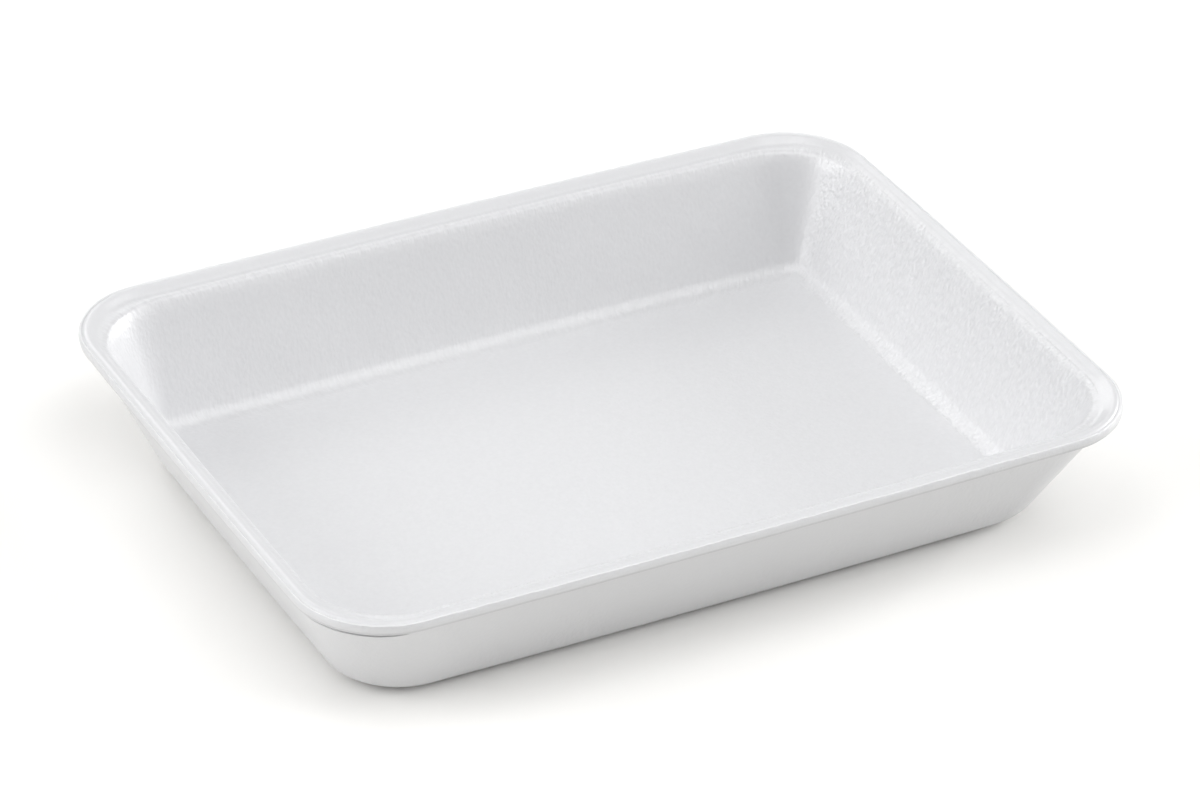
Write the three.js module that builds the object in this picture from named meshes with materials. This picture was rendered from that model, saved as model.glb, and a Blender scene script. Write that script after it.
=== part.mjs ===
// An empty white foam tray, the shallow kind that food is packed and sold in.
// Millimetres, +Z up. The origin is the middle of the flat underside, the long sides run along X.
//
// The tray is one formed sheet of foam. Its section is drawn once, for a long side, as a line that
// starts at the edge of the flat underside, climbs the outside wall, goes over the rim and comes
// down the inside wall to the edge of the flat floor. That line is carried round a rectangle with
// round corners and slightly bowed sides, and two flat faces close the underside and the floor.
import * as THREE from 'three';

// Overall size, over the rim.
const LENGTH = 230;
const WIDTH = 172;
const HEIGHT = 36;
const FOAM = 4.1;

// Walls. An inset is how far inside the rim's outer edge something is, on a long side.
const OUTSIDE_LEAN = THREE.MathUtils.degToRad(27.6);
const INSIDE_LEAN = THREE.MathUtils.degToRad(26.3);
const FLOOR_EDGE_INSET = 25.8;
// The strip of flat between a fillet's end and that edge, so that the two stay apart.
const FLAT_MARGIN = 0.1;
const INSIDE_FILLET = 5.3;
const OUTSIDE_FILLET = INSIDE_FILLET + FOAM;
// The short walls are a little steeper, so every inset is this much of the long side's.
const SHORT_SIDE_SHARE = 0.85;

// Rim, from the outside in: a low upright lip, a round shoulder, a shallow valley, and a bead whose
// soft side leads into the wall.
// A depth is how far below the rim's top something is.
const LIP_HEIGHT = 3.1;
const LIP_OVERHANG = 3.4;
const LIP_TUCK = 0.4;
const LIP_BULGE_DEPTH = 1.2;
const TRIM_EDGE_INSET = 0.6;
const TRIM_EDGE_DEPTH = 0.5;
const SHOULDER_INSET = 2.5;
// The rounding takes this off the shoulder again, so that its crest ends at the full height.
const SHOULDER_RISE = 0.43;
const VALLEY_INSET = 4.6;
const VALLEY_DEPTH = 2.3;
const BEAD_INSET = 6.9;
const BEAD_DEPTH = 1.95;
const BEAD_SIDE_DEPTH = 4;

// How much of the two lines that meet at a corner of the section its rounding takes.
const WALL_TOP_ROUNDING = 0.7;
const LIP_EDGE_ROUNDING = 0.45;
const LIP_BULGE_ROUNDING = 0.6;
const SHOULDER_ROUNDING = 1.5;
const VALLEY_ROUNDING = 1;
const BEAD_ROUNDING = 1.1;
const BEAD_SIDE_ROUNDING = 1.5;

// Corner radii in plan. Each corner tightens on its way down to the floor.
const RIM_CORNER = 24;
const WALL_TOP_CORNER = 23;
const BASE_CORNER = 18;
const VALLEY_CORNER = 22.4;
const BEAD_CORNER = 21.4;
const BEAD_SIDE_CORNER = 20.4;
const FLOOR_CORNER = 4.5;

// How far the middle of a side stands out from a straight line between its corners.
const LONG_SIDE_BOW = 0.6;
const SHORT_SIDE_BOW = 0.35;

// Faceting.
const CORNER_STEPS = 10;
const LONG_SIDE_STEPS = 6;
const SHORT_SIDE_STEPS = 5;
const FILLET_STEPS = 6;
const RIM_STEPS = 4;
const EDGE_STEPS = 2;
const WALL_STEPS = 3;
const TALL_STRETCH = HEIGHT / 3;

// A corner of the section: its inset, the corner radius in plan of the outline through it, its
// height, how far its rounding reaches along both lines, and the rounding's steps.
function corner(inset, cornerRadius, height, reach = 0, steps = 0) {
  return { point: new THREE.Vector3(inset, cornerRadius, height), reach, steps };
}

// How far a fillet of this radius reaches from the foot of a leaning wall.
function filletReach(radius, lean) {
  return radius * Math.tan((Math.PI / 2 - lean) / 2);
}

// The outside of the wall, from the edge of the flat underside up to where the rim hangs over it.
function outsideCorners() {
  const reach = filletReach(OUTSIDE_FILLET, OUTSIDE_LEAN);
  const foot = FLOOR_EDGE_INSET - reach - FLAT_MARGIN;
  const topInset = LIP_TUCK + LIP_OVERHANG;
  const topHeight = (foot - topInset) / Math.tan(OUTSIDE_LEAN);
  return [
    corner(FLOOR_EDGE_INSET, BASE_CORNER, 0),
    corner(foot, BASE_CORNER, 0, reach, FILLET_STEPS),
    corner(topInset, WALL_TOP_CORNER, topHeight, WALL_TOP_ROUNDING, EDGE_STEPS),
  ];
}

// The rim, from the lower edge of the lip over the shoulder to the bottom of the valley.
function rimCorners() {
  const tuck = [LIP_TUCK, RIM_CORNER - LIP_TUCK, HEIGHT - LIP_HEIGHT];
  const trim = [TRIM_EDGE_INSET, RIM_CORNER - TRIM_EDGE_INSET, HEIGHT - TRIM_EDGE_DEPTH];
  const shoulder = [SHOULDER_INSET, RIM_CORNER - SHOULDER_INSET, HEIGHT + SHOULDER_RISE];
  return [
    corner(...tuck, LIP_EDGE_ROUNDING, EDGE_STEPS),
    corner(0, RIM_CORNER, HEIGHT - LIP_BULGE_DEPTH, LIP_BULGE_ROUNDING, EDGE_STEPS),
    corner(...trim),
    corner(...shoulder, SHOULDER_ROUNDING, RIM_STEPS),
    corner(VALLEY_INSET, VALLEY_CORNER, HEIGHT - VALLEY_DEPTH, VALLEY_ROUNDING, RIM_STEPS),
  ];
}

// The inside of the wall, from the bead at its top down to the edge of the flat floor.
function insideCorners() {
  const reach = filletReach(INSIDE_FILLET, INSIDE_LEAN);
  const foot = FLOOR_EDGE_INSET - reach - FLAT_MARGIN;
  const sideHeight = HEIGHT - BEAD_SIDE_DEPTH;
  const sideInset = foot - (sideHeight - FOAM) * Math.tan(INSIDE_LEAN);
  return [
    corner(BEAD_INSET, BEAD_CORNER, HEIGHT - BEAD_DEPTH, BEAD_ROUNDING, RIM_STEPS),
    corner(sideInset, BEAD_SIDE_CORNER, sideHeight, BEAD_SIDE_ROUNDING, EDGE_STEPS),
    corner(foot, FLOOR_CORNER, FOAM, reach, FILLET_STEPS),
    corner(FLOOR_EDGE_INSET, FLOOR_CORNER, FOAM),
  ];
}

// The section as points in order: straight stretches between corners, each corner rounded off.
function sectionPoints() {
  const corners = [...outsideCorners(), ...rimCorners(), ...insideCorners()];
  const points = [];
  corners.forEach(({ point, reach, steps }, index) => {
    if (reach === 0) {
      points.push(point);
      return;
    }
    const before = corners[index - 1].point;
    const after = corners[index + 1].point;
    const start = point.clone().addScaledVector(before.clone().sub(point).normalize(), reach);
    const end = point.clone().addScaledVector(after.clone().sub(point).normalize(), reach);
    points.push(...new THREE.QuadraticBezierCurve3(start, point, end).getPoints(steps));
  });
  return points.flatMap((point, index) => stretchTo(points[index - 1], point));
}

// The points that lead from one section point to the next: more than one only on a tall wall.
function stretchTo(previous, point) {
  if (!previous || Math.abs(point.z - previous.z) < TALL_STRETCH) return [point];
  return new THREE.LineCurve3(previous, point).getPoints(WALL_STEPS).slice(1);
}

// An arc in plan without its last point, which is the first one of the next arc.
function arc(centreX, centreY, radius, from, to, steps) {
  return new THREE.EllipseCurve(centreX, centreY, radius, radius, from, to).getPoints(steps).slice(0, -1);
}

// The rectangle with round corners and bowed sides on which one section point travels.
// Each side is a very flat arc, and it runs into the corner arcs without a kink.
function outline({ x: inset, y: cornerRadius, z: height }) {
  const halfLength = LENGTH / 2 - inset * SHORT_SIDE_SHARE;
  const halfWidth = WIDTH / 2 - inset;
  const centreX = halfLength - cornerRadius - SHORT_SIDE_BOW;
  const centreY = halfWidth - cornerRadius - LONG_SIDE_BOW;
  const longRadius = (centreX ** 2 + LONG_SIDE_BOW ** 2) / (2 * LONG_SIDE_BOW);
  const shortRadius = (centreY ** 2 + SHORT_SIDE_BOW ** 2) / (2 * SHORT_SIDE_BOW);
  const longSwing = Math.asin(centreX / longRadius);
  const shortSwing = Math.asin(centreY / shortRadius);
  const points = [];
  for (const side of [0, Math.PI]) {
    const way = Math.cos(side);
    const nextSide = side + Math.PI;
    const longSide = side + Math.PI / 2;
    const shortX = way * (halfLength - cornerRadius - shortRadius);
    const longY = way * (halfWidth - cornerRadius - longRadius);
    const arcs = [
      [shortX, 0, shortRadius + cornerRadius, side - shortSwing, side + shortSwing, SHORT_SIDE_STEPS],
      [way * centreX, way * centreY, cornerRadius, side + shortSwing, longSide - longSwing, CORNER_STEPS],
      [0, longY, longRadius + cornerRadius, longSide - longSwing, longSide + longSwing, LONG_SIDE_STEPS],
      [-way * centreX, way * centreY, cornerRadius, longSide + longSwing, nextSide - shortSwing, CORNER_STEPS],
    ];
    points.push(...arcs.flatMap((values) => arc(...values)));
  }
  return points.map((point) => new THREE.Vector3(point.x, point.y, height));
}

// One closed skin: a band of quads from each outline to the next, and a fan on each flat face.
function traySkin() {
  const loops = sectionPoints().map(outline);
  const around = loops[0].length;
  const lastLoop = loops.length - 1;
  const underside = loops.length * around;
  const floor = underside + 1;
  const points = [...loops.flat(), new THREE.Vector3(0, 0, 0), new THREE.Vector3(0, 0, FOAM)];
  const faces = [];
  for (let step = 0; step < around; step += 1) {
    const next = (step + 1) % around;
    faces.push(underside, next, step);
    for (let loop = 0; loop < lastLoop; loop += 1) {
      const low = loop * around;
      const high = low + around;
      faces.push(low + step, low + next, high + next);
      faces.push(low + step, high + next, high + step);
    }
    faces.push(floor, lastLoop * around + step, lastLoop * around + next);
  }
  const geometry = new THREE.BufferGeometry().setFromPoints(points);
  geometry.setIndex(faces);
  geometry.computeVertexNormals();
  return geometry;
}

function buildTray() {
  const foam = new THREE.MeshStandardMaterial({ color: 0xf2f2f5, roughness: 0.55, metalness: 0 });
  const tray = new THREE.Mesh(traySkin(), foam);
  tray.name = 'tray';
  return tray;
}

const group = new THREE.Group();
group.add(buildTray());

export default group;
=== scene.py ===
"""A white foam food tray on a pale table.

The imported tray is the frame. One finer skin stands for it: the same section, carried round the
same rectangle with round corners, and worked out as whole arrays. Lengths are in millimetres until
a mesh is made, and a direction round the tray runs anticlockwise from the middle of the +X side.
"""
import math

import bpy
import numpy as np
from mathutils import Matrix, Vector


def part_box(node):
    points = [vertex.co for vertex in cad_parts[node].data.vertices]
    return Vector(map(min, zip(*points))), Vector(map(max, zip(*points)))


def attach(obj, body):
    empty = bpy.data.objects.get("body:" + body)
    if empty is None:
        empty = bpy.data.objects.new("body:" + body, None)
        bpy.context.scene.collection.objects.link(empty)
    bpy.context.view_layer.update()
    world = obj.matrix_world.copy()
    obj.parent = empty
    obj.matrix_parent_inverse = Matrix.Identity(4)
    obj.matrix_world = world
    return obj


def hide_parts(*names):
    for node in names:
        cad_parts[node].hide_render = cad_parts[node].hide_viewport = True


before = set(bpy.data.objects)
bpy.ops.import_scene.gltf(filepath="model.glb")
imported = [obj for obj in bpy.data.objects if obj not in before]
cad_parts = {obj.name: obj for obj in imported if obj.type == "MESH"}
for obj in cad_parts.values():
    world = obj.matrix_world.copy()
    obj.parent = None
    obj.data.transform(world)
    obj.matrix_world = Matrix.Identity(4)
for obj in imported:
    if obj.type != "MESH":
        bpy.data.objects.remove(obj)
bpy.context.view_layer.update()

MM = 0.001
TINY = 1e-9

# Overall size, over the rim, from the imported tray.
low_corner, high_corner = (np.array(corner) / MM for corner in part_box("tray"))
LENGTH, WIDTH, HEIGHT = high_corner - low_corner

# Walls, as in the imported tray. An inset is how far inside the rim's outer edge something is, on a
# long side.
FOAM = 4.1
OUTSIDE_LEAN = math.radians(27.6)
INSIDE_LEAN = math.radians(26.3)
FLOOR_EDGE_INSET = 25.8
INSIDE_FILLET = 5.3
OUTSIDE_FILLET = INSIDE_FILLET + FOAM
# The strip of flat between a fillet's end and that edge, so that the two stay apart.
FLAT_MARGIN = 0.1
# The short walls are a little steeper, so every inset is this much of the long side's.
SHORT_SIDE_SHARE = 0.85

# Rim, from the outside in. A depth is how far below the rim's top something is.
LIP_HEIGHT = 3.1
LIP_OVERHANG = 3.4
LIP_TUCK = 0.4
LIP_BULGE_DEPTH = 1.3
FIN_INSET = 0.6
FIN_DEPTH = 0.5
FIN_WIDTH = 0.28
GROOVE_SETBACK = 1.9 * FIN_WIDTH
GROOVE_DEPTH = 0.18
SHOULDER_INSET = 2.5
# The rounding takes a rise off the shoulder again, so that its crest ends near the full height.
SHOULDER_RISE = 0.5
SHORT_SIDE_SHOULDER_RISE = 0.37
VALLEY_INSET = 4.6
VALLEY_DEPTH = 2.3
SHORT_SIDE_VALLEY_DEPTH = 1.05
BEAD_INSET = 6.9
BEAD_DEPTH = 1.95
BEAD_SIDE_DEPTH = 4.0

# How far each rounding of the section reaches along the two lines that meet there.
WALL_TOP_ROUNDING = 0.9
LIP_EDGE_ROUNDING = 0.5
LIP_BULGE_ROUNDING = 0.8
FIN_ROUNDING = 0.06
GROOVE_ROUNDING = 0.1
SHOULDER_ROUNDING = 1.3
VALLEY_ROUNDING = 1.0
BEAD_ROUNDING = 1.1
BEAD_SIDE_ROUNDING = 1.5

# Corner radii in plan. Each corner tightens on its way down to the floor.
RIM_CORNER = 24.0
WALL_TOP_CORNER = 23.0
BASE_CORNER = 18.0
VALLEY_CORNER = 22.4
BEAD_CORNER = 21.4
BEAD_SIDE_CORNER = 20.4
FLOOR_CORNER = 4.5

# How far the middle of a side stands out from a straight line between its corners.
LONG_SIDE_BOW = 0.6
SHORT_SIDE_BOW = 0.35

# Uneven hand of the forming press: the sheet swells a little, in broad waves and finer ones.
SWELL = 0.09
SWELL_SIZE = 34.0
FINE_SWELL_SIZE = SWELL_SIZE / 3.1
FINE_SWELL_SHARE = 0.35

# The fin's teeth come and go in longer stretches. Heights are shares of its rise.
FIN_RISE = 0.12
FIN_TOOTH_SIZE = 3.4
FIN_STRETCH_SIZE = 21.0
FIN_MEAN = 0.35
FIN_TOOTH = 0.5
FIN_STRETCH = 0.35
FIN_LOWEST = -0.4
FIN_HIGHEST = 1.2

# The sheet folds under the lip where a corner gathers it: a roll, and a crease above it. A place
# there is a share of the way from the wall's top to the lip's edge.
FOLD_OUT = 1.5
ROLL_PLACE = 0.22
ROLL_WIDTH = 0.17
FOLD_IN = 0.5
CREASE_PLACE = 0.7
CREASE_WIDTH = 0.13
FOLD_START = -0.25
# The share of a corner's columns that a fold takes to each side of the middle.
FOLD_SPREAD = 0.42
# The fold's strength at each corner, anticlockwise from the one at +X +Y.
FOLDS = (0.45, 0.3, 1.0, 0.12)

# Where a corner starts to be like a short side: the outward direction along X there, from 0 to 1.
VALLEY_FADE = 0.3
GRAIN_FADE = 0.8

# Mesh steps round the tray, then up the section, with the longest step across a wall.
LONG_SIDE_STEPS = 180
SHORT_SIDE_STEPS = 124
CORNER_STEPS = 44
FILLET_STEPS = 12
EDGE_STEPS = 4
FIN_STEPS = 2
CREST_STEPS = 9
VALLEY_STEPS = 7
UNDERCUT_STEPS = 12
WALL_STEP = 3.6
FLOOR_RINGS = 14
UNDERSIDE_RINGS = 4

# The foam's texture: the sizes of its noises' cells.
WORM_CELL = (0.9, 0.9, 1.8)
RIB_CELL = (1.0, 4.0, 1.0)
PIT_CELL = (1.1, 1.1, 1.1)
PIT_DISTORTION = 1.5
RIPPLE_CELL = (4.5, 4.5, 4.5)
CLOUD_CELL = (6.0, 6.0, 6.0)
GRAIN_CELL = (1.2, 1.2, 1.2)

# How deep its relief goes, and how far the ribs reach from the bead and from the inside foot.
WORM_DEPTH = 0.08
SHORT_WALL_WORM_DEPTH = 0.3
BEAD_RIB_DEPTH = 0.34
FOOT_RIB_DEPTH = 0.2
PIT_DEPTH = 0.2
RIPPLE_DEPTH = 0.08
BEAD_REACH = 1.9
FOOT_REACH = 4.0

# How strongly the worms and the ribs paint light on their tops and shade in their hollows, and how
# strongly the grain shows as random tone in the colour.
WORM_PAINTED_SHADE = 1.92
BEAD_RIB_PAINTED_SHADE = 1.28
FOOT_RIB_PAINTED_SHADE = 0.8
GRAIN_CONTRAST = 0.5

# Colours, and how much of each its zone takes.
SKIN_LOW = (0.645, 0.647, 0.66, 1)
SKIN_HIGH = (0.735, 0.737, 0.75, 1)
# A darker colour for the cut face of the lip, and painted shade on the outside walls, which face
# down and away from the lights.
CUT_AND_PAINTED_SHADE_COLOUR = (0.5, 0.501, 0.51, 1)
CUT_SHARE = 0.3
OUTSIDE_PAINTED_SHADE_SHARE = 0.32
# Painted shade: a darker strip just under the lip's edge, where the lip shades the wall.
PAINTED_UNDERCUT_SHADE_COLOUR = (0.4, 0.4, 0.41, 1)
PAINTED_UNDERCUT_SHADE_SHARE = 0.6
# Painted glow: the thin fin is lighter where light shines through its translucent edge.
PAINTED_FIN_GLOW_COLOUR = (0.84, 0.842, 0.855, 1)
PAINTED_FIN_GLOW_SHARE = 0.5
TABLE_COLOUR = (0.95, 0.944, 0.925, 1)

SATIN_ROUGHNESS = 0.3
CLOUD_ROUGHNESS = 0.06
TABLE_ROUGHNESS = 0.8
FOAM_IOR = 1.5
FOAM_SPECULAR_LEVEL = 1.0

# Camera: the photograph's viewing angle and lens, fitted to the tray's outlines in it.
CAMERA_PLACE = (-0.5773, -1.0537, 0.7845)
CAMERA_AZIMUTH = math.radians(-28.758)
CAMERA_ELEVATION = math.radians(32.329)
CAMERA_ROLL = math.radians(1.69)
CAMERA_LENS = 167.43
CAMERA_SENSOR = 36

TABLE_SIZE = 8.0

# Soft far lights: azimuth anticlockwise from +X and elevation in degrees, and strength. The
# strengths were fitted to the photograph's tones, then rounded.
LIGHT_SOFTNESS = math.radians(36)
LIGHTS = {
    "right_low": (0, 10, 2.25),
    "left_low": (180, 10, 0.35),
    "back_right": (60, 30, 0.18),
    "back": (90, 30, 0.72),
    "back_left": (150, 30, 0.8),
    "left": (180, 30, 0.89),
    "front_right": (300, 30, 0.23),
    "right_front": (330, 30, 0.76),
    "front": (270, 50, 0.5),
    "high_left": (180, 70, 0.71),
    "high_front": (300, 70, 0.62),
}


# ---------------------------------------------------------------- the tray's skin


# The section's corners in order. A stage is a place along the section: a whole number at a corner
# and what lies between two corners in between.
(
    UNDERSIDE,
    OUTSIDE_FOOT,
    WALL_TOP,
    LIP_EDGE,
    LIP_BULGE,
    FIN_OUTSIDE,
    FIN_INSIDE,
    GROOVE,
    SHOULDER,
    VALLEY,
    BEAD,
    BEAD_SIDE,
    INSIDE_FOOT,
    FLOOR,
) = range(14)


def fillet_reach(radius, lean):
    """How far a fillet of this radius reaches from the foot of a leaning wall."""
    return radius * math.tan((math.pi / 2 - lean) / 2)


def section_corners(shoulder_rise, valley_depth):
    """The section's corners from the edge of the underside, over the rim, to the edge of the floor.

    Each row is inset, corner radius in plan, height, reach of the rounding and its steps.
    """
    outside_reach = fillet_reach(OUTSIDE_FILLET, OUTSIDE_LEAN)
    inside_reach = fillet_reach(INSIDE_FILLET, INSIDE_LEAN)
    outside_foot = FLOOR_EDGE_INSET - outside_reach - FLAT_MARGIN
    inside_foot = FLOOR_EDGE_INSET - inside_reach - FLAT_MARGIN
    wall_top = LIP_TUCK + LIP_OVERHANG
    wall_top_height = (outside_foot - wall_top) / math.tan(OUTSIDE_LEAN)
    side_height = HEIGHT - BEAD_SIDE_DEPTH
    side_inset = inside_foot - (side_height - FOAM) * math.tan(INSIDE_LEAN)
    fin_corner = RIM_CORNER - FIN_INSET
    fin_height = HEIGHT - FIN_DEPTH
    groove_inset = FIN_INSET + GROOVE_SETBACK
    groove_height = fin_height - GROOVE_DEPTH
    lip_corner = RIM_CORNER - LIP_TUCK
    lip_height = HEIGHT - LIP_HEIGHT
    bulge_height = HEIGHT - LIP_BULGE_DEPTH
    shoulder_corner = RIM_CORNER - SHOULDER_INSET
    shoulder_height = HEIGHT + shoulder_rise
    valley_height = HEIGHT - valley_depth
    bead_height = HEIGHT - BEAD_DEPTH
    return np.array(
        [
            (FLOOR_EDGE_INSET, BASE_CORNER, 0, 0, 0),
            (outside_foot, BASE_CORNER, 0, outside_reach, FILLET_STEPS),
            (wall_top, WALL_TOP_CORNER, wall_top_height, WALL_TOP_ROUNDING, EDGE_STEPS),
            (LIP_TUCK, lip_corner, lip_height, LIP_EDGE_ROUNDING, EDGE_STEPS),
            (0, RIM_CORNER, bulge_height, LIP_BULGE_ROUNDING, EDGE_STEPS),
            (FIN_INSET, fin_corner, fin_height, FIN_ROUNDING, FIN_STEPS),
            (FIN_INSET + FIN_WIDTH, fin_corner, fin_height, FIN_ROUNDING, FIN_STEPS),
            (groove_inset, fin_corner, groove_height, GROOVE_ROUNDING, FIN_STEPS),
            (SHOULDER_INSET, shoulder_corner, shoulder_height, SHOULDER_ROUNDING, CREST_STEPS),
            (VALLEY_INSET, VALLEY_CORNER, valley_height, VALLEY_ROUNDING, VALLEY_STEPS),
            (BEAD_INSET, BEAD_CORNER, bead_height, BEAD_ROUNDING, CREST_STEPS),
            (side_inset, BEAD_SIDE_CORNER, side_height, BEAD_SIDE_ROUNDING, EDGE_STEPS),
            (inside_foot, FLOOR_CORNER, FOAM, inside_reach, FILLET_STEPS),
            (FLOOR_EDGE_INSET, FLOOR_CORNER, FOAM, 0, 0),
        ]
    )


def rounded(corners):
    """The section as rows of inset, corner radius, height and stage, each corner a round arc.

    An arc that turns by an angle and touches both lines at the same reach is written in those
    lines' own directions: its two weights fall from 1 to 0 and rise from 0 to 1 along it.
    """
    rows = []
    for stage, (*point, reach, steps) in enumerate(corners):
        point = np.array(point)
        if reach == 0:
            rows.append([[*point, stage]])
            continue
        back = corners[stage - 1, :3] - point
        ahead = corners[stage + 1, :3] - point
        back /= np.hypot(back[0], back[2])
        ahead /= np.hypot(ahead[0], ahead[2])
        cosine = -(back[0] * ahead[0] + back[2] * ahead[2])
        turn = math.acos(np.clip(cosine, -1, 1))
        angle = np.linspace(0, turn, int(steps) + 1)[:, None]
        half = math.tan(turn / 2)
        rise = (1 - np.cos(angle)) / (math.sin(turn) * half)
        fall = 1 - np.sin(angle) / half + rise * math.cos(turn)
        arc = point + reach * (fall * back + rise * ahead)
        rows.append(np.hstack([arc, np.full_like(angle, stage)]))
    return np.concatenate(rows)


def stretched(rows):
    """The same section, its long stretches cut up: evenly on the walls, finely under the lip."""
    lengths = np.hypot(np.diff(rows[:, 0]), np.diff(rows[:, 2]))
    counts = np.maximum(np.ceil(lengths / WALL_STEP).astype(int), 1)
    undercut = np.flatnonzero((rows[:-1, 3] == WALL_TOP) & (rows[1:, 3] == LIP_EDGE))
    counts[undercut] = UNDERCUT_STEPS
    places = [index + np.arange(count) / count for index, count in enumerate(counts)]
    places = np.append(np.concatenate(places), len(lengths))
    known = np.arange(len(rows))
    return np.stack([np.interp(places, known, column) for column in rows.T], axis=1)


def outline(inset, corner):
    """Points round the tray, one row for each inset and corner radius.

    The sides are very flat arcs and the corners are round arcs that continue them, so that the
    outline has no kink. It is a rectangle of flat arcs, grown outwards by the corner radius.
    """
    inset = inset[:, None]
    corner = corner[:, None]
    half_length = LENGTH / 2 - inset * SHORT_SIDE_SHARE
    half_width = WIDTH / 2 - inset
    centre_x = half_length - corner - SHORT_SIDE_BOW
    centre_y = half_width - corner - LONG_SIDE_BOW
    long_radius = (centre_x**2 + LONG_SIDE_BOW**2) / (2 * LONG_SIDE_BOW)
    short_radius = (centre_y**2 + SHORT_SIDE_BOW**2) / (2 * SHORT_SIDE_BOW)
    long_swing = np.arcsin(centre_x / long_radius)
    short_swing = np.arcsin(centre_y / short_radius)
    across = []
    along = []
    for side in (0, math.pi):
        way = math.cos(side)
        far = side + math.pi / 2
        arcs = (
            (way * (half_length - corner - short_radius), 0, short_radius + corner,
             side - short_swing, side + short_swing, SHORT_SIDE_STEPS),
            (way * centre_x, way * centre_y, corner,
             side + short_swing, far - long_swing, CORNER_STEPS),
            (0, way * (half_width - corner - long_radius), long_radius + corner,
             far - long_swing, far + long_swing, LONG_SIDE_STEPS),
            (-way * centre_x, way * centre_y, corner,
             far + long_swing, side + math.pi - short_swing, CORNER_STEPS),
        )
        for centre_along, centre_across, radius, start, end, steps in arcs:
            angle = start + (end - start) * np.arange(steps) / steps
            along.append(centre_along + radius * np.cos(angle))
            across.append(centre_across + radius * np.sin(angle))
    return np.stack([np.concatenate(along, axis=1), np.concatenate(across, axis=1)], axis=2)


def corner_middles():
    """The columns at the middle of each corner, anticlockwise from the one at +X +Y."""
    half = CORNER_STEPS // 2
    first = SHORT_SIDE_STEPS + half
    second = first + CORNER_STEPS + LONG_SIDE_STEPS
    half_round = SHORT_SIDE_STEPS + LONG_SIDE_STEPS + 2 * CORNER_STEPS
    return np.array([first, second, first + half_round, second + half_round])


def distances(points):
    """The distance travelled from the first of some points to each of them."""
    return np.append(0, np.cumsum(np.linalg.norm(np.diff(points, axis=0), axis=1)))


def swell(points, size, seed):
    """Gentle unevenness from about -1 to 1: sine waves about size long in random directions."""
    waves = 20
    slowest = 0.6
    fastest = 1.5
    chance = np.random.default_rng(seed)
    directions = chance.normal(size=(waves, 3))
    directions /= np.linalg.norm(directions, axis=1)[:, None]
    rates = 2 * math.pi / size * chance.uniform(slowest, fastest, waves)
    starts = chance.uniform(0, 2 * math.pi, waves)
    total = np.zeros(points.shape[:-1])
    for direction, rate, start in zip(directions, rates, starts):
        total += np.sin(points @ direction * rate + start)
    return total / math.sqrt(waves)


def facing(grid):
    """The outward direction at each point of a grid whose rows go up the section and whose
    columns go round the tray: the cross product of the steps both ways."""
    round_the_tray = np.roll(grid, -1, axis=1) - np.roll(grid, 1, axis=1)
    up_the_section = np.gradient(grid, axis=0)
    normal = np.cross(round_the_tray, up_the_section)
    return normal / np.maximum(np.linalg.norm(normal, axis=2, keepdims=True), TINY)


def ramp(stages, stops):
    """A value for each stage: straight lines between the stops, each a stage and its value."""
    return np.interp(stages, list(stops), list(stops.values()))


def unevenness(grid, stage):
    """How far each point moves along its own direction: swells on the walls, little on the rim,
    less on the floor, and nothing on the underside, which stays flat on the table."""
    stops = {
        OUTSIDE_FOOT: 0,
        OUTSIDE_FOOT + 0.5: 1,
        WALL_TOP: 0.5,
        LIP_EDGE: 0.25,
        BEAD_SIDE: 0.4,
        BEAD_SIDE + 0.5: 1,
        FLOOR: 0.7,
    }
    share = ramp(stage, stops)[:, None]
    broad = swell(grid, SWELL_SIZE, seed=3)
    fine = swell(grid, FINE_SWELL_SIZE, seed=4)
    return share * SWELL * (broad + FINE_SWELL_SHARE * fine)


def fin_rise(rim):
    """The height of the trim edge's fin above its plain one, round the rim: its mean, plus little
    teeth and longer stretches from two swells, held between a lowest and a highest."""
    teeth = swell(rim, FIN_TOOTH_SIZE, seed=5)
    stretches = swell(rim, FIN_STRETCH_SIZE, seed=6)
    height = FIN_MEAN + FIN_TOOTH * teeth + FIN_STRETCH * stretches
    return FIN_RISE * np.clip(height, FIN_LOWEST, FIN_HIGHEST)


def undercut_fold(stage, columns):
    """How far the sheet stands out under the lip: a roll low down less a crease above it, each a
    bell curve up the section, times a flat-topped bell curve round each corner."""
    place = stage - WALL_TOP
    roll = FOLD_OUT * np.exp(-(((place - ROLL_PLACE) / ROLL_WIDTH) ** 2))
    crease = FOLD_IN * np.exp(-(((place - CREASE_PLACE) / CREASE_WIDTH) ** 2))
    profile = np.where((place > FOLD_START) & (stage < LIP_EDGE), roll - crease, 0)
    gathered = np.zeros(columns)
    places = np.arange(columns)
    for middle, strength in zip(corner_middles(), FOLDS):
        away = (places - middle + columns / 2) % columns - columns / 2
        gathered += strength * np.exp(-((away / (FOLD_SPREAD * CORNER_STEPS)) ** 4))
    return profile[:, None] * gathered


def short_side_share(rim, start):
    """How far each column lies on a short side, 0 on the long sides and 1 on the short ones: the
    outline's outward direction along X, as a smooth step from a start up to 1."""
    ahead = np.roll(rim, -1, axis=0) - np.roll(rim, 1, axis=0)
    along_x = np.abs(ahead[:, 1]) / np.hypot(ahead[:, 0], ahead[:, 1])
    share = np.clip((along_x - start) / (1 - start), 0, 1)
    return share**2 * (3 - 2 * share)


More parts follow.
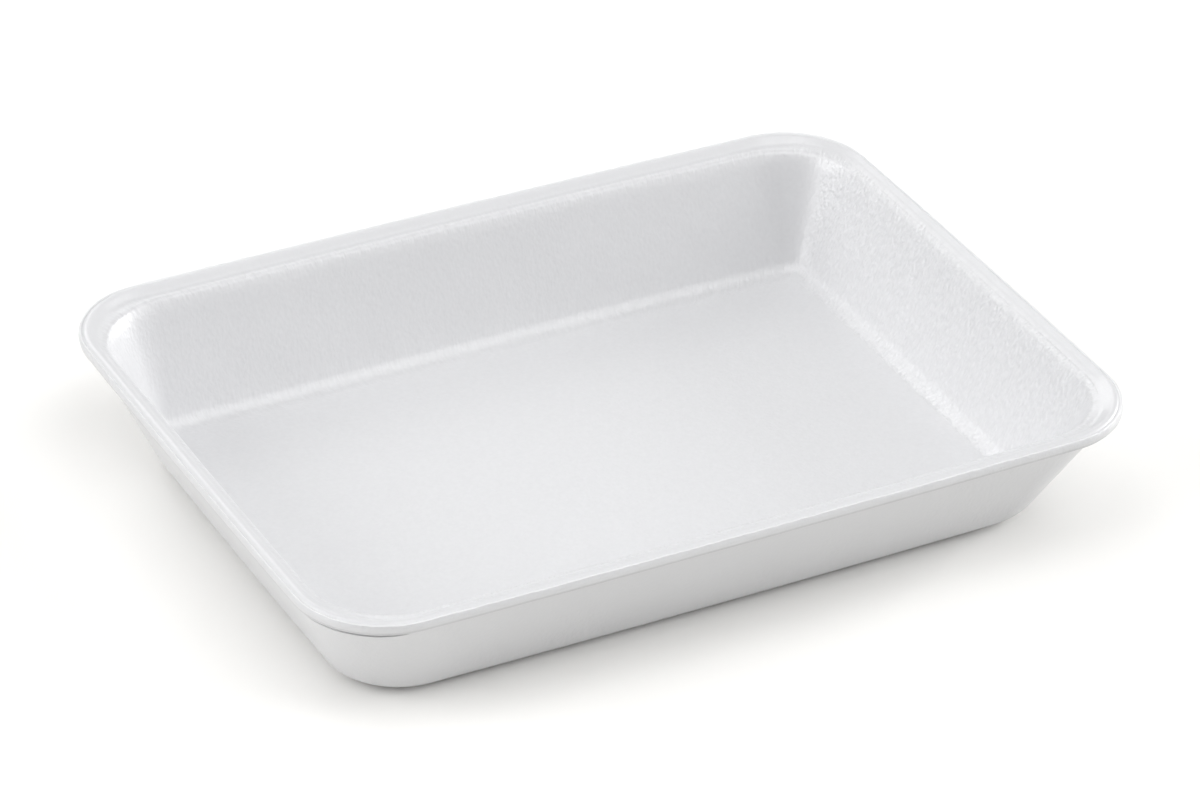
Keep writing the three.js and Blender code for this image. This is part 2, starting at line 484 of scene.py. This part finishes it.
def tray_grid():
    """The skin's points without the two flat faces, and the stage of each row.

    The rim's valley is shallower on the short sides, so each height is that of the long sides'
    section, plus the short side's share of its difference from the short sides' section. Then the
    sheet moves along its own direction by its unevenness and outwards by its folds, and the fin
    rises."""
    section = stretched(rounded(section_corners(SHOULDER_RISE, VALLEY_DEPTH)))
    short_corners = section_corners(SHORT_SIDE_SHOULDER_RISE, SHORT_SIDE_VALLEY_DEPTH)
    short_section = stretched(rounded(short_corners))
    stage = section[:, 3]
    plan = outline(section[:, 0], section[:, 1])
    share = short_side_share(plan[0], VALLEY_FADE)
    height = section[:, 2, None] + share * (short_section - section)[:, 2, None]
    grid = np.concatenate([plan, height[..., None]], axis=2)
    direction = facing(grid)
    level = direction * (1, 1, 0)
    level /= np.maximum(np.linalg.norm(level, axis=2, keepdims=True), TINY)
    moved = grid + direction * unevenness(grid, stage)[..., None]
    moved += level * undercut_fold(stage, grid.shape[1])[..., None]
    fin = ramp(stage, {LIP_BULGE: 0, FIN_OUTSIDE: 1, FIN_INSIDE: 1, GROOVE: 0})
    moved[..., 2] += fin[:, None] * fin_rise(grid[stage == FIN_OUTSIDE][0])
    return moved, stage


def flat_face(edge, rings):
    """Rings that shrink evenly from an edge to its middle, without the edge and the middle."""
    middle = np.array([0, 0, edge[:, 2].mean()])
    share = (1 - np.arange(1, rings) / rings)[:, None, None]
    return middle + share * (edge - middle)


def bands(rows, around):
    """The quads between rows of points round the tray, facing outwards."""
    row, step = np.meshgrid(np.arange(rows - 1), np.arange(around), indexing="ij")
    low = row * around
    high = low + around
    ahead = (step + 1) % around
    return np.stack([low + step, low + ahead, high + ahead, high + step], axis=2).reshape(-1, 4)


def build_tray(foam):
    """One closed skin: the underside's rings, the section's rows and the floor's rings."""
    grid, stage = tray_grid()
    around = grid.shape[1]
    underside = flat_face(grid[0], UNDERSIDE_RINGS)[::-1]
    floor = flat_face(grid[-1], FLOOR_RINGS)
    rows = np.concatenate([underside, grid, floor])
    under_stages = np.full(len(underside), UNDERSIDE)
    floor_stages = np.full(len(floor), FLOOR)
    stages = np.concatenate([under_stages, stage, floor_stages])
    points = rows.reshape(-1, 3)
    lowest = len(points)
    middles = [[0, 0, 0], [0, 0, rows[-1, :, 2].mean()]]
    quads = bands(len(rows), around)
    step = np.arange(around)
    ahead = (step + 1) % around
    last = (len(rows) - 1) * around
    under_fan = np.stack([np.full(around, lowest), ahead, step], axis=1)
    floor_fan = np.stack([np.full(around, lowest + 1), last + step, last + ahead], axis=1)
    mesh = bpy.data.meshes.new("tray_skin")
    faces = quads.tolist() + under_fan.tolist() + floor_fan.tolist()
    mesh.from_pydata(np.concatenate([points, middles]) * MM, [], faces)
    mesh.shade_smooth()
    lay_sheet_map(mesh, rows, around, len(quads))
    lay_zones(mesh, rows, stages)
    mesh.materials.append(foam)
    tray = bpy.data.objects.new("tray_skin", mesh)
    bpy.context.collection.objects.link(tray)
    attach(tray, "root")
    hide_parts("tray")


def lay_sheet_map(mesh, rows, around, quad_count):
    """A map in metres: u is the distance round the rim and v the distance up the section."""
    rim = rows[rows[:, 0, 2].argmax()]
    u = distances(np.concatenate([rim, rim[:1]])) * MM
    v = distances(rows[:, 0]) * MM
    row, step = np.meshgrid(np.arange(len(rows) - 1), np.arange(around), indexing="ij")
    quad_u = np.stack([u[step], u[step + 1], u[step + 1], u[step]], axis=2)
    quad_v = np.stack([v[row], v[row], v[row + 1], v[row + 1]], axis=2)
    sheet = np.zeros((len(mesh.loops), 2))
    sheet[: quad_count * 4, 0] = quad_u.reshape(-1)
    sheet[: quad_count * 4, 1] = quad_v.reshape(-1)
    sheet[quad_count * 4 :, 1] = v[-1]
    layer = mesh.uv_layers.new(name="sheet")
    layer.uv.foreach_set("vector", sheet.astype(np.float32).ravel())


def lay_zones(mesh, rows, stages):
    """Attributes from 0 to 1 that say where on the sheet a point lies: on the outside, on the
    inside, on the cut face of the lip, in the strip under the lip where shade is painted, on the
    fin, near the bead, near the inside foot, or on the inside of a short wall. Those near something
    are bell curves of the distance from it, and the others are ramps up the section."""
    travelled = distances(rows[:, 0])
    bead = travelled[stages == BEAD].mean()
    foot = travelled[stages == INSIDE_FOOT].mean()
    stops = {
        "outside": {OUTSIDE_FOOT - 0.5: 0, OUTSIDE_FOOT: 1, WALL_TOP: 1, LIP_EDGE: 0},
        "inside": {VALLEY: 0, BEAD: 1},
        "cut": {LIP_EDGE: 0, LIP_EDGE + 0.1: 1, FIN_OUTSIDE: 1, FIN_INSIDE: 0},
        # The strip just under the lip's edge, for painted shade.
        "painted_undercut_shade": {LIP_EDGE - 0.3: 0, LIP_EDGE - 0.1: 1, LIP_EDGE: 1, LIP_EDGE + 0.1: 0},
        "fin": {FIN_OUTSIDE - 0.1: 0, FIN_OUTSIDE: 1, FIN_INSIDE: 1, FIN_INSIDE + 0.1: 0},
    }
    zones = {name: ramp(stages, places) for name, places in stops.items()}
    zones["bead"] = np.exp(-(((travelled - bead) / BEAD_REACH) ** 2))
    zones["foot"] = np.exp(-(((travelled - foot) / FOOT_REACH) ** 2))
    all_round = np.ones(rows.shape[1])
    grids = {name: np.outer(values, all_round) for name, values in zones.items()}
    wall = ramp(stages, {VALLEY: 0, BEAD: 0.5, BEAD_SIDE: 1, INSIDE_FOOT: 0.6, FLOOR: 0})
    grids["short_wall"] = np.outer(wall, short_side_share(rows[0], GRAIN_FADE))
    for name, values in grids.items():
        attribute = mesh.attributes.new(name, "FLOAT", "POINT")
        middles = values[0, 0], values[-1, 0]
        attribute.data.foreach_set("value", np.append(values, middles).astype(np.float32))


# ---------------------------------------------------------------- materials


class Socket:
    """An output socket with arithmetic: an expression on values adds its Math nodes."""

    def __init__(self, recipe, socket):
        self.recipe = recipe
        self.socket = socket

    def math(self, operation, *values):
        return self.recipe.node("ShaderNodeMath", {"operation": operation}, *values)

    def __add__(self, other):
        return self.math("ADD", self, other)

    def __radd__(self, other):
        return self.math("ADD", other, self)

    def __sub__(self, other):
        return self.math("SUBTRACT", self, other)

    def __rsub__(self, other):
        return self.math("SUBTRACT", other, self)

    def __mul__(self, other):
        return self.math("MULTIPLY", self, other)

    def __rmul__(self, other):
        return self.math("MULTIPLY", other, self)

    def __abs__(self):
        return self.math("ABSOLUTE", self)

    def clamped(self, low, high):
        """The value held between two numbers."""
        return self.math("MINIMUM", self.math("MAXIMUM", self, low), high)


def pick(sockets, key):
    """The socket at a position, or the one with an identifier."""
    if isinstance(key, int):
        return sockets[key]
    return next(socket for socket in sockets if socket.identifier == key)


class Recipe:
    """A new material: its shader, and the one way in which any node is added to it."""

    def __init__(self, name):
        self.material = bpy.data.materials.new(name)
        self.material.use_nodes = True
        self.tree = self.material.node_tree
        self.shader = self.tree.nodes["Principled BSDF"]

    def node(self, kind, settings, *values, out=0, **named):
        """A node with its settings, then its sockets in order or by identifier, as one output."""
        made = self.tree.nodes.new(kind)
        for name, value in settings.items():
            setattr(made, name, value)
        for key, value in [*enumerate(values), *named.items()]:
            self.fill(pick(made.inputs, key), value)
        return Socket(self, pick(made.outputs, out))

    def fill(self, target, value):
        """A link where the value is a socket, and a constant otherwise."""
        if isinstance(value, Socket):
            self.tree.links.new(value.socket, target)
            return
        target.default_value = value

    def set(self, **values):
        """The shader's own sockets, with spaces written as underscores."""
        for name, value in values.items():
            self.fill(self.shader.inputs[name.replace("_", " ")], value)

    def cells(self, sizes, coordinates="Object"):
        """Coordinates on the piece, divided into cells of the given sizes in millimetres."""
        where = self.node("ShaderNodeTexCoord", {}, out=coordinates)
        scale = [1 / (size * MM) for size in sizes]
        return self.node("ShaderNodeMapping", {}, Vector=where, Scale=scale)

    def zone(self, name):
        """One of the tray's zones, from 0 to 1."""
        return self.node("ShaderNodeAttribute", {"attribute_name": name}, out="Fac")

    def noise(self, where, detail, distortion=0.0):
        """Soft noise from 0 to 1 in cells of size one, with finer noise added detail times."""
        sockets = {"Scale": 1.0, "Detail": detail, "Roughness": 0.5, "Distortion": distortion}
        return self.node("ShaderNodeTexNoise", {}, Vector=where, **sockets)

    def mix(self, factor, low, high):
        """One colour turning into another as the factor goes from 0 to 1."""
        sockets = {"Factor_Float": factor, "A_Color": low, "B_Color": high}
        return self.node("ShaderNodeMix", {"data_type": "RGBA"}, out="Result_Color", **sockets)


def foam_relief(recipe):
    """The skin's fine relief in millimetres, and the painted light and shade that it puts in the
    colour.

    Worms stand on end on the walls and are deepest on the short ones. Ribs run across the bead and
    the inside foot, on the sheet's own map. Pits, the distance of a noise from its middle, lie in
    the cut face of the lip, and slow ripples lie under it all. The worms on the inside of the short
    walls and the ribs lighten the colour by their distance above their middle and darken it below:
    painted light on their tops and painted shade in their hollows."""
    short_wall = recipe.zone("short_wall")
    bead = recipe.zone("bead")
    foot = recipe.zone("foot")
    worms = recipe.noise(recipe.cells(WORM_CELL), detail=1)
    ribs = recipe.noise(recipe.cells(RIB_CELL, "UV"), detail=1)
    pits = abs(recipe.noise(recipe.cells(PIT_CELL), detail=3, distortion=PIT_DISTORTION) - 0.5)
    ripples = recipe.noise(recipe.cells(RIPPLE_CELL), detail=2)
    worm_relief = (WORM_DEPTH + SHORT_WALL_WORM_DEPTH * short_wall) * worms
    rib_relief = (BEAD_RIB_DEPTH * bead + FOOT_RIB_DEPTH * foot) * ribs
    pit_relief = PIT_DEPTH * recipe.zone("cut") * pits
    relief = worm_relief + rib_relief + pit_relief + RIPPLE_DEPTH * ripples
    # Painted light and shade: the colour follows the worms' and ribs' relief, lighter on top and
    # darker in the hollows.
    worm_painted_shade = WORM_PAINTED_SHADE * short_wall * (worms - 0.5)
    rib_painted_shade = (BEAD_RIB_PAINTED_SHADE * bead + FOOT_RIB_PAINTED_SHADE * foot) * (ribs - 0.5)
    return relief, worm_painted_shade + rib_painted_shade


def foam_material():
    """White foam with a satin skin. Its colour goes from low to high with the painted light and
    shade that follow the relief, and with a fine grain. It is then darker on the cut face, with
    painted shade on the outside and in the strip under the lip, and lighter on the fin with a
    painted glow. Slow clouds vary its gloss."""
    recipe = Recipe("foam")
    relief, relief_painted_shade = foam_relief(recipe)
    clouds = recipe.noise(recipe.cells(CLOUD_CELL), detail=3)
    grain = recipe.noise(recipe.cells(GRAIN_CELL), detail=1)
    grain_lift = GRAIN_CONTRAST * recipe.zone("inside") * (grain - 0.5)
    # Painted light and shade from the relief, plus the grain's random tone.
    skin = recipe.mix((0.5 + relief_painted_shade + grain_lift).clamped(0, 1), SKIN_LOW, SKIN_HIGH)
    # Darker on the cut face, and painted shade on the outside walls.
    cut_and_painted_shade = CUT_SHARE * recipe.zone("cut") + OUTSIDE_PAINTED_SHADE_SHARE * recipe.zone("outside")
    darkened_cut_and_outside = recipe.mix(cut_and_painted_shade, skin, CUT_AND_PAINTED_SHADE_COLOUR)
    # Painted shade in the strip under the lip's edge.
    shaded = recipe.mix(PAINTED_UNDERCUT_SHADE_SHARE * recipe.zone("painted_undercut_shade"), darkened_cut_and_outside, PAINTED_UNDERCUT_SHADE_COLOUR)
    # Painted glow on the thin fin.
    colour = recipe.mix(PAINTED_FIN_GLOW_SHARE * recipe.zone("fin"), shaded, PAINTED_FIN_GLOW_COLOUR)
    sockets = {"Strength": 1.0, "Distance": MM, "Height": relief}
    bump = recipe.node("ShaderNodeBump", {}, out="Normal", **sockets)
    roughness = SATIN_ROUGHNESS + CLOUD_ROUGHNESS * clouds
    recipe.set(Base_Color=colour, Roughness=roughness, Normal=bump)
    recipe.set(IOR=FOAM_IOR, Specular_IOR_Level=FOAM_SPECULAR_LEVEL)
    return recipe.material


def table_material():
    """A plain pale matt surface."""
    recipe = Recipe("table")
    recipe.set(Base_Color=TABLE_COLOUR, Roughness=TABLE_ROUGHNESS)
    return recipe.material


# ---------------------------------------------------------------- the stage


def build_table():
    """One wide pale surface that the tray stands on."""
    half = TABLE_SIZE / 2
    mesh = bpy.data.meshes.new("table")
    points = [(-half, -half, 0), (half, -half, 0), (half, half, 0), (-half, half, 0)]
    mesh.from_pydata(points, [], [(0, 1, 2, 3)])
    mesh.materials.append(table_material())
    table = bpy.data.objects.new("table", mesh)
    bpy.context.collection.objects.link(table)


def add_light(name, azimuth, elevation, strength):
    """A far soft light that shines at the origin from an azimuth and an elevation in degrees."""
    data = bpy.data.lights.new(name, "SUN")
    data.energy = strength
    data.angle = LIGHT_SOFTNESS
    light = bpy.data.objects.new(name, data)
    turn = math.radians(azimuth)
    rise = math.radians(elevation)
    level = math.cos(rise)
    place = Vector((math.cos(turn) * level, math.sin(turn) * level, math.sin(rise)))
    light.matrix_world = (-place).to_track_quat("-Z", "Y").to_matrix().to_4x4()
    bpy.context.collection.objects.link(light)


def light_scene():
    """Soft lights all round, and a pale surround that is seen but sheds no light itself."""
    world = bpy.data.worlds.new("surround")
    world.use_nodes = True
    background = world.node_tree.nodes["Background"]
    background.inputs["Color"].default_value = (1, 1, 1, 1)
    background.inputs["Strength"].default_value = 1.0
    bpy.context.scene.world = world
    world.cycles_visibility.diffuse = False
    world.cycles_visibility.glossy = False
    for name, values in LIGHTS.items():
        add_light(name, *values)


def place_camera():
    """The camera looks along its azimuth and elevation, turned by its roll."""
    data = bpy.data.cameras.new("camera")
    data.lens = CAMERA_LENS
    data.sensor_width = CAMERA_SENSOR
    camera = bpy.data.objects.new("camera", data)
    turn = Matrix.Rotation(CAMERA_AZIMUTH, 4, "Z")
    tilt = Matrix.Rotation(math.pi / 2 - CAMERA_ELEVATION, 4, "X")
    roll = Matrix.Rotation(CAMERA_ROLL, 4, "Z")
    camera.matrix_world = Matrix.Translation(CAMERA_PLACE) @ turn @ tilt @ roll
    bpy.context.collection.objects.link(camera)
    bpy.context.scene.camera = camera


place_camera()
build_table()
build_tray(foam_material())
light_scene()
bpy.context.scene.view_settings.view_transform = "Standard"
